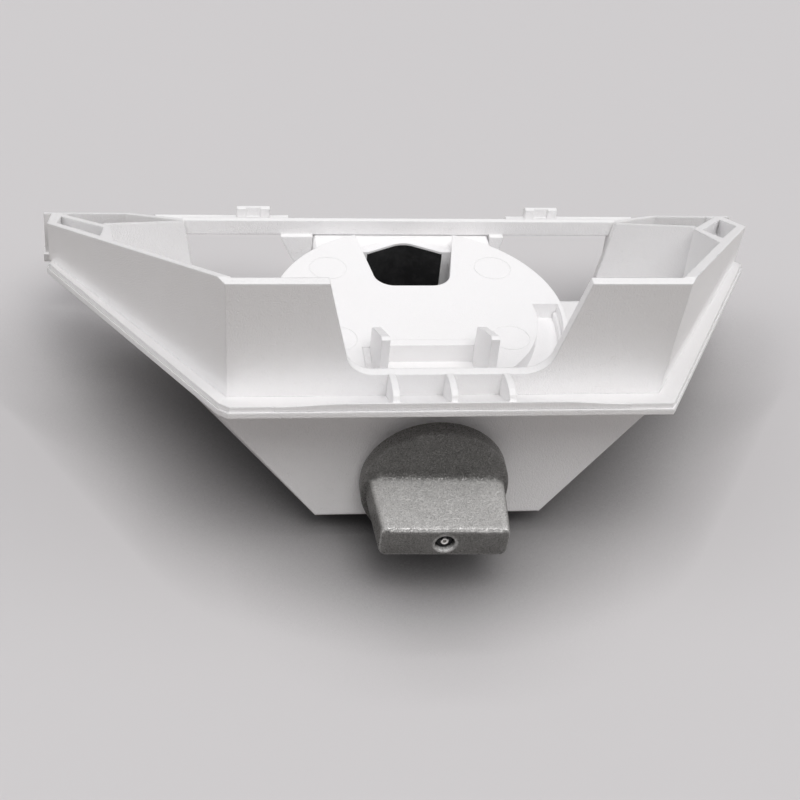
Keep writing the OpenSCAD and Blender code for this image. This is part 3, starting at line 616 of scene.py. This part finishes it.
def socket_screw():
    """The knob's screw as a socket head screw with a rolled rim, where the CAD screw is."""
    low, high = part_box("knob_screw")
    head = (high.x - low.x) / 2
    front = low.y - SCREW_FORWARD
    rings = [(front + behind, hexagon(KEY_FLAT)) for behind in KEY_RINGS]
    rings += [(front + behind * MM, circle(radius * MM)) for behind, radius in SCREW_MIDDLE]
    rings += [(front + behind * MM, circle(head - less * MM)) for behind, less in SCREW_HEAD]
    rings += [(front + SCREW_UNDER, circle(SHANK_RADIUS)),
              (high.y - SHANK_CHAMFER, circle(SHANK_RADIUS)), (high.y, circle(SHANK_POINT))]
    points, faces = turned(rings, SCREW_AROUND, (low.z + high.z) / 2)
    piece = mesh_piece("knob_screw_socket", points, faces, "steel", "screw_body")
    paint(piece, "screw_shade_and_glint")
    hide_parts("knob_screw")


def strip_piece(name, rows, mirrored=False):
    """A piece of the housing through rows of equal outlines, closed at both ends."""
    count = len(rows[0])
    last = count * (len(rows) - 1)
    faces = [tuple(range(count)), tuple(range(last + count - 1, last - 1, -1))]
    for start in range(0, last, count):
        for a in range(count):
            b = (a + 1) % count
            faces.append((start + a, start + count + a, start + count + b, start + b))
    if mirrored:
        faces = [tuple(reversed(face)) for face in faces]
    points = [point for row in rows for point in row]
    mesh_piece(name, points, faces, "white_plastic", "root")


def ledge_top(y):
    """Height of the ledge's upper face."""
    return LEDGE_BACK_TOP + LEDGE_RISE * (LEDGE_BACK - y)


def ledge_rim():
    """Raised front edge of the ledge, which runs down to the flange on both sides."""
    front = LEDGE_FRONT - RIM_OUT
    back = front + RIM_WIDTH
    front_top, back_top = ledge_top(front), ledge_top(back)
    rows = []
    for step in range(RIM_STEPS + 1):
        x = RIM_END * (2 * step / RIM_STEPS - 1)
        fall = max(0.0, (abs(x) - RIM_FALLS) / (RIM_END - RIM_FALLS))
        height = RIM_HEIGHT * (1 + math.cos(math.pi * fall)) / 2
        rows.append((
            (x, front, front_top - RIM_DEPTH),
            (x, front, front_top + height - RIM_CHAMFER_DROP),
            (x, front + RIM_CHAMFER, front_top + height),
            (x, back, back_top + height),
            (x, back, back_top - RIM_BACK_DEPTH),
        ))
    strip_piece("ledge_rim", rows)


def ear_slope(name, side):
    """Sloping web between a clip ear and the side of the recess in the round plate."""
    near, far = side * EAR_SIDE, side * RECESS_SIDE
    rows = []
    for y, outer, inner in EAR_ROWS:
        rows.append((
            (near, y * MM, inner * MM), (far, y * MM, outer * MM),
            (far, y * MM, EAR_FOOT), (near, y * MM, EAR_FOOT),
        ))
    strip_piece(name, rows, side < 0)


def arc_rib(name, side):
    """Step along the outer wall of an arc channel of the round plate."""
    outline = (
        (ARC_INNER, ARC_FOOT), (ARC_INNER, ARC_TOP - ARC_CHAMFER),
        (ARC_INNER + ARC_CHAMFER, ARC_TOP), (ARC_OUTER, ARC_TOP), (ARC_OUTER, ARC_FOOT),
    )
    rows = []
    for step in range(ARC_STEPS + 1):
        angle = math.radians(ARC_FROM + (ARC_TO - ARC_FROM) * step / ARC_STEPS)
        across, along = side * math.cos(angle), math.sin(angle)
        rows.append([(r * across, r * along, z) for r, z in outline])
    strip_piece(name, rows, side < 0)


def under_flange(face):
    """Whether a face of the frame lies in one of the planes below its flange."""
    depth = face.normal.dot(face.calc_center_median())
    for normal, distance in FLANGE_UNDER:
        if face.normal.dot(Vector(normal)) > UNDER_TURN and abs(depth - distance) < UNDER_NEAR:
            return True
    return False


def flange_seal():
    """Thin seal that closes the joint between the frame's flange and the bowl's lip."""
    flange = bmesh.new()
    flange.from_mesh(NODES["frame"].data)
    bmesh.ops.remove_doubles(flange, verts=flange.verts, dist=WELD)
    flange.normal_update()
    order, edges = {}, {}
    points, outlines = [], []
    for face in filter(under_flange, flange.faces):
        for vert in face.verts:
            if vert.index not in order:
                order[vert.index] = len(points)
                points.append(vert.co.copy())
        corners = [order[vert.index] for vert in face.verts]
        outlines.append(corners)
        edges.update(dict.fromkeys(zip(corners, corners[1:] + corners[:1])))
    flange.free()
    count = len(points)
    faces = []
    for corners in outlines:
        faces.append(tuple(reversed(corners)))
        faces.append(tuple(corner + count for corner in corners))
    for a, b in edges:
        if (b, a) not in edges:
            faces.append((a, b, b + count, a + count))
    points += [point + Vector((0, 0, -SEAL_DEPTH)) for point in points]
    piece = mesh_piece("flange_seal", points, faces, "white_plastic", "root")
    paint(piece, "seal_white")


def floor():
    """Plain pale floor just under the part, with a shade where the part is near."""
    z = CAD_BOX[0][2] - FLOOR_GAP
    half = FLOOR_HALF
    mesh = bpy.data.meshes.new("floor")
    corners = [(-half, -half, z), (half, -half, z), (half, half, z), (-half, half, z)]
    mesh.from_pydata(corners, [], [(0, 1, 2, 3)])
    piece = bpy.data.objects.new("floor", mesh)
    bpy.context.scene.collection.objects.link(piece)
    g = Look("floor")
    cloudy = tuple(FLOOR_CLOUD * c for c in FLOOR_SEEN)
    shown = g.mix(g.spread(g.noise(3, 3), 0.2, 0.8), FLOOR_SEEN, cloudy)
    near = g.add("ShaderNodeAmbientOcclusion", samples=CONTACT_SAMPLES)
    near.inputs["Distance"].default_value = CONTACT_REACH
    lean = g.add("ShaderNodeCombineXYZ")
    for axis, value in zip("XYZ", CONTACT_LEAN):
        lean.inputs[axis].default_value = value
    g.link(lean.outputs["Vector"], near.inputs["Normal"])
    covered = g.math("POWER", g.math("SUBTRACT", 1.0, near.outputs["AO"]), CONTACT_FALL)
    covered = g.math("MINIMUM", g.math("MULTIPLY", covered, CONTACT_SHADE), CONTACT_MOST)
    colour = g.mix(covered, g.mix(g.backdrop_rays(), FLOOR_BOUNCE, shown), BLACK)
    rough = g.spread(g.noise(40, 3), 0.3, 0.7, 0.85, 0.95)
    normal = g.bump(g.noise(900, 2), 0.05, FLOOR_GRAIN)
    mesh.materials.append(g.finish(colour, rough, normal, specular=0.1))


def lamps():
    for name, place, width, strength in LAMPS:
        sun = bpy.data.lights.new(name, "SUN")
        sun.energy = strength
        sun.color = LAMP_COLOUR
        sun.angle = math.radians(width)
        lamp = bpy.data.objects.new(name, sun)
        lamp.rotation_euler = Vector(place).to_track_quat("Z", "Y").to_euler()
        bpy.context.scene.collection.objects.link(lamp)


def world():
    """Sky that lights the part, and the plain backdrop that the camera sees instead."""
    studio = bpy.data.worlds.new("studio")
    studio.use_nodes = True
    g = Graph(studio.node_tree)
    ramp = g.add("ShaderNodeValToRGB")
    ramp.color_ramp.elements[0].color = SKY_HORIZON
    ramp.color_ramp.elements[1].color = SKY_ZENITH
    direction = g.add("ShaderNodeTexCoord").outputs["Generated"]
    g.link(g.along(direction, "Z"), ramp.inputs["Fac"])
    shown = g.mix(g.backdrop_rays(), ramp.outputs["Color"], BACKDROP_SEEN)
    g.link(shown, g.tree.nodes["Background"].inputs["Color"])
    bpy.context.scene.world = studio


def camera():
    data = bpy.data.cameras.new("camera")
    data.sensor_width = CAMERA_SENSOR
    data.lens = CAMERA_LENS
    data.clip_start = CAMERA_NEAR
    eye = bpy.data.objects.new("camera", data)
    back = CAMERA_RIGHT.cross(CAMERA_UP)
    axes = Matrix((CAMERA_RIGHT, CAMERA_UP, back)).transposed().to_4x4()
    eye.matrix_world = Matrix.Translation(CAMERA_PLACE) @ axes
    bpy.context.scene.collection.objects.link(eye)
    bpy.context.scene.camera = eye


cad_looks()
threaded_spindle()
socket_screw()
ledge_rim()
ear_slope("ear_slope_right", 1)
ear_slope("ear_slope_left", -1)
flange_seal()
arc_rib("arc_rib_right", 1)
arc_rib("arc_rib_left", -1)
floor()
lamps()
world()
camera()
bpy.context.scene.view_settings.view_transform = "Standard"
